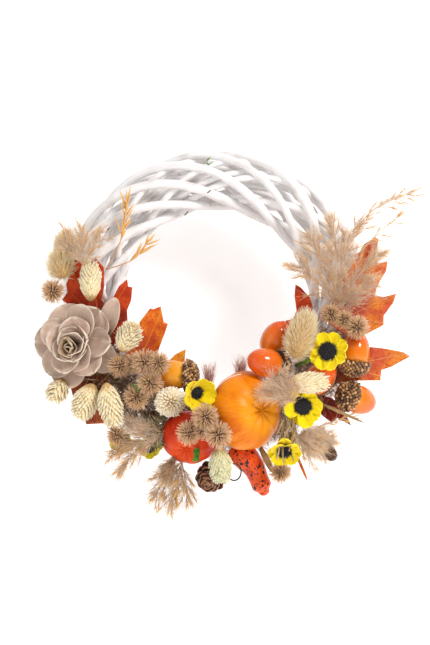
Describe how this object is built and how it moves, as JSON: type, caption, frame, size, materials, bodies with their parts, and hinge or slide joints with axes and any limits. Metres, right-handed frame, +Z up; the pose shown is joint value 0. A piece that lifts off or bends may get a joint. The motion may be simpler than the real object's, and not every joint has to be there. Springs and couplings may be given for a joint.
{
  "type": "harvest door wreath",
  "caption": "Round door wreath of white willow rods with a crescent of pumpkins, acorns, yellow flowers, leaves and dried grasses on its lower half, and a wire hanger.",
  "frame": {"origin": "middle of the wire hanger's hinge, the eye of the tie behind the top of the ring", "axes": "+Z up as hung, -Y out of the decorated front, +X to the viewer's right from the front"},
  "size_m": [0.3571, 0.1474, 0.3644],
  "materials": {
    "white_willow": "uneven white paint over split bark",
    "dark_wire": "dark annealed wire",
    "orange_skin": "satin painted foam",
    "red_skin": "satin painted foam with flecks",
    "acorn_orange": "high gloss lacquer",
    "seed_brown": "crust of small round seeds",
    "cone_brown": "dry open scales",
    "taupe_petal": "fine grained dry petals with pale rims",
    "yellow_petal": "soft foam petals round a black felt centre",
    "autumn_leaf": "printed stiff fabric with raised veins",
    "cream_head": "dry grass heads, overlapping husks",
    "brown_burr": "dry spines",
    "tan_plume": "fine dry grass hairs"
  },
  "bodies": {
    "wreath": {"acorn_cap_2": "seed_brown", "acorn_cap_3": "seed_brown", "acorn_cap_4": "seed_brown", "acorn_cap_6": "seed_brown", "acorn_nut_1": "acorn_orange", "acorn_nut_2": "acorn_orange", "acorn_nut_3": "acorn_orange", "acorn_nut_4": "acorn_orange", "acorn_nut_5": "acorn_orange", "acorn_nut_6": "acorn_orange", "burrs_left": "brown_burr", "burrs_middle": "brown_burr", "burrs_right": "brown_burr", "core_hoop": "white_willow", "cream_head_1": "cream_head", "cream_head_2": "cream_head", "cream_head_3": "cream_head", "cream_head_4": "cream_head", "cream_head_5": "cream_head", "cream_head_6": "cream_head", "cream_head_7": "cream_head", "cream_head_8": "cream_head", "cream_head_9": "cream_head", "flower_1": "yellow_petal", "flower_2": "yellow_petal", "flower_3": "yellow_petal", "flower_4": "yellow_petal", "golden_sprig": "tan_plume", "gourd_speckled": "red_skin", "hanger_tie": "dark_wire", "inner_rod_1": "white_willow", "inner_rod_2": "white_willow", "inner_rod_3": "white_willow", "leaf_left_inner": "autumn_leaf", "leaf_left_small": "autumn_leaf", "leaf_left_top": "autumn_leaf", "leaf_right_dark": "autumn_leaf", "leaf_right_inner": "autumn_leaf", "leaf_right_low": "autumn_leaf", "leaf_right_top": "autumn_leaf", "pine_cone": "cone_brown", "plume_bottom": "tan_plume", "plume_centre": "tan_plume", "plume_left_low": "tan_plume", "plume_left_top": "tan_plume", "plume_right": "tan_plume", "plume_right_low": "tan_plume", "pumpkin_orange": "orange_skin", "pumpkin_red": "red_skin", "rose_bud": "taupe_petal", "rose_inner_petals": "taupe_petal", "rose_outer_petals": "taupe_petal", "willow_rod_1": "white_willow", "willow_rod_2": "white_willow", "willow_rod_3": "white_willow", "willow_rod_4": "white_willow", "willow_rod_5": "white_willow", "willow_rod_6": "white_willow", "willow_rod_7": "white_willow"},
    "hanger": {"hanger_loop": "dark_wire"}
  },
  "joints": [
    {"name": "hanger_swing", "type": "hinge", "parent": "wreath", "child": "hanger", "pos_m": [0, 0, 0], "axis": [1, 0, 0], "range_deg": [0, 175]}
  ]
}
